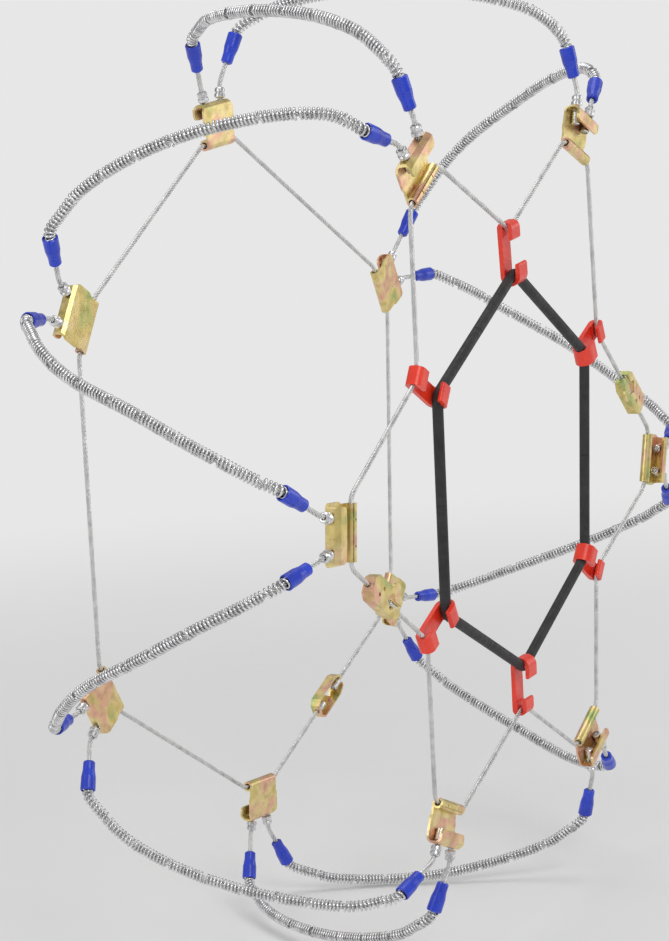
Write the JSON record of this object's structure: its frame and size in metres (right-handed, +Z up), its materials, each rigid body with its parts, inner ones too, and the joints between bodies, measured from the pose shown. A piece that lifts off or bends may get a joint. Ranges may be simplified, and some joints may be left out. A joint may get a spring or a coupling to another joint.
{
  "type": "tire snow chain set",
  "caption": "Cable-type tire snow chain: steel coils on cross cables run zigzag over the tread between folded brackets, held by a side cable, red hooks and a rubber tensioner ring.",
  "frame": {"origin": "centre of the tire the chain is fitted on: on the wheel axle, half way between the two side cables", "axes": "wheel axle along Y, the street side of the wheel towards -Y, +Z up, +X to the right when looking at the street side"},
  "size_m": [0.7456, 0.2522, 0.7425],
  "materials": {
    "gold_zinc": "yellow passivated zinc plating with pink and green patches, satin",
    "blue_plastic": "moulded, soft gloss",
    "red_plastic": "moulded, soft gloss",
    "black_rubber": "extruded rubber cord with fine ridges, matt",
    "coil_steel": "bright zinc plated spring wire",
    "crimp_steel": "bright zinc plated, crimped",
    "wire_rope": "galvanised stranded wire rope"
  },
  "bodies": {
    "chain": {"cross_cables_1": "wire_rope", "cross_cables_2": "wire_rope", "cross_cables_3": "wire_rope", "cross_cables_4": "wire_rope", "cross_cables_5": "wire_rope", "cross_cables_6": "wire_rope", "traction_coils_1": "coil_steel", "traction_coils_2": "coil_steel", "traction_coils_3": "coil_steel", "traction_coils_4": "coil_steel", "traction_coils_5": "coil_steel", "traction_coils_6": "coil_steel", "inner_bracket_1": "gold_zinc", "inner_bracket_2": "gold_zinc", "inner_bracket_3": "gold_zinc", "inner_bracket_4": "gold_zinc", "inner_bracket_5": "gold_zinc", "inner_bracket_6": "gold_zinc", "inner_cable_stops": "crimp_steel", "inner_ferrules": "crimp_steel", "inner_sleeves": "blue_plastic", "outer_side_cable_lower": "wire_rope", "outer_side_cable_upper": "wire_rope", "inner_side_cable": "wire_rope", "rubber_tensioner_ring": "black_rubber", "hooked_rope_ends": "crimp_steel", "anchored_rope_ends": "crimp_steel"},
    "outer_bracket_1_body": {"outer_bracket_1": "gold_zinc", "outer_cable_stops_1": "crimp_steel", "outer_ferrules_1": "crimp_steel", "outer_sleeves_1": "blue_plastic"},
    "outer_bracket_2_body": {"outer_bracket_2": "gold_zinc", "outer_cable_stops_2": "crimp_steel", "outer_ferrules_2": "crimp_steel", "outer_sleeves_2": "blue_plastic"},
    "outer_bracket_3_body": {"outer_bracket_3": "gold_zinc", "outer_cable_stops_3": "crimp_steel", "outer_ferrules_3": "crimp_steel", "outer_sleeves_3": "blue_plastic"},
    "outer_bracket_4_body": {"outer_bracket_4": "gold_zinc", "outer_cable_stops_4": "crimp_steel", "outer_ferrules_4": "crimp_steel", "outer_sleeves_4": "blue_plastic"},
    "outer_bracket_5_body": {"outer_bracket_5": "gold_zinc", "outer_cable_stops_5": "crimp_steel", "outer_ferrules_5": "crimp_steel", "outer_sleeves_5": "blue_plastic"},
    "outer_bracket_6_body": {"outer_bracket_6": "gold_zinc", "outer_cable_stops_6": "crimp_steel", "outer_ferrules_6": "crimp_steel", "outer_sleeves_6": "blue_plastic"},
    "red_hook_1_body": {"red_hook_1": "red_plastic"},
    "red_hook_2_body": {"red_hook_2": "red_plastic"},
    "red_hook_3_body": {"red_hook_3": "red_plastic"},
    "red_hook_4_body": {"red_hook_4": "red_plastic"},
    "red_hook_5_body": {"red_hook_5": "red_plastic"},
    "red_hook_6_body": {"red_hook_6": "red_plastic"},
    "outer_fastener_plate_1_body": {"outer_fastener_plate_1": "gold_zinc"},
    "outer_fastener_plate_2_body": {"outer_fastener_plate_2": "gold_zinc"},
    "inner_fastener_plate_body": {"inner_fastener_plate": "gold_zinc"}
  },
  "joints": [
    {"name": "bracket_1_lift", "type": "hinge", "parent": "chain", "child": "outer_bracket_1_body", "pos_m": [-0.14066, -0.1177, 0.22423], "axis": [0.8377, 0, 0.5461], "range_deg": [0, 14], "deforming": ["cross_cables_1", "traction_coils_1"]},
    {"name": "bracket_2_lift", "type": "hinge", "parent": "chain", "child": "outer_bracket_2_body", "pos_m": [-0.26469, -0.1177, 0.00231], "axis": [0.0872, 0, 0.9962], "range_deg": [0, 14], "deforming": ["cross_cables_2", "traction_coils_2"]},
    {"name": "bracket_3_lift", "type": "hinge", "parent": "chain", "child": "outer_bracket_3_body", "pos_m": [-0.13075, -0.1177, -0.23016], "axis": [-0.9164, 0, 0.4003], "range_deg": [0, 14], "deforming": ["cross_cables_3", "traction_coils_3"]},
    {"name": "bracket_4_lift", "type": "hinge", "parent": "chain", "child": "outer_bracket_4_body", "pos_m": [0.12833, -0.1177, -0.23151], "axis": [-0.8616, 0, -0.5075], "range_deg": [0, 14], "deforming": ["cross_cables_4", "traction_coils_4"]},
    {"name": "bracket_5_lift", "type": "hinge", "parent": "chain", "child": "outer_bracket_5_body", "pos_m": [0.26339, -0.1177, -0.02629], "axis": [-0.2113, 0, -0.9774], "range_deg": [0, 14], "deforming": ["cross_cables_5", "traction_coils_5"]},
    {"name": "bracket_6_lift", "type": "hinge", "parent": "chain", "child": "outer_bracket_6_body", "pos_m": [0.12222, -0.1177, 0.23479], "axis": [0.9272, 0, -0.3746], "range_deg": [0, 14], "deforming": ["cross_cables_6", "traction_coils_6"]},
    {"name": "hook_1_pull_out", "type": "slide", "parent": "chain", "child": "red_hook_1_body", "axis": [-0.1277, 0, 0.9918], "range_m": [0, 0.008], "deforming": ["rubber_tensioner_ring"]},
    {"name": "hook_2_pull_out", "type": "slide", "parent": "chain", "child": "red_hook_2_body", "axis": [-0.8732, 0, 0.4873], "range_m": [0, 0.008], "deforming": ["rubber_tensioner_ring"]},
    {"name": "hook_3_pull_out", "type": "slide", "parent": "chain", "child": "red_hook_3_body", "axis": [-0.8932, 0, -0.4496], "range_m": [0, 0.008], "deforming": ["rubber_tensioner_ring"]},
    {"name": "hook_4_pull_out", "type": "slide", "parent": "chain", "child": "red_hook_4_body", "axis": [0.0452, 0, -0.999], "range_m": [0, 0.008], "deforming": ["rubber_tensioner_ring"]},
    {"name": "hook_5_pull_out", "type": "slide", "parent": "chain", "child": "red_hook_5_body", "axis": [0.8376, 0, -0.5462], "range_m": [0, 0.008], "deforming": ["rubber_tensioner_ring"]},
    {"name": "hook_6_pull_out", "type": "slide", "parent": "chain", "child": "red_hook_6_body", "axis": [0.8988, 0, 0.4384], "range_m": [0, 0.008], "deforming": ["rubber_tensioner_ring"]},
    {"name": "fastener_1_roll", "type": "hinge", "parent": "chain", "child": "outer_fastener_plate_1_body", "pos_m": [-0.22478, -0.1177, -0.05052], "axis": [0.8275, 0, -0.5615], "range_deg": [-25, 25]},
    {"name": "fastener_2_roll", "type": "hinge", "parent": "chain", "child": "outer_fastener_plate_2_body", "pos_m": [0.22565, -0.1177, 0.03479], "axis": [-0.7552, 0, 0.6555], "range_deg": [-25, 25]},
    {"name": "inner_fastener_roll", "type": "hinge", "parent": "chain", "child": "inner_fastener_plate_body", "pos_m": [0.10584, 0.1177, -0.217], "axis": [0.8988, 0, 0.4384], "range_deg": [-25, 25]}
  ]
}
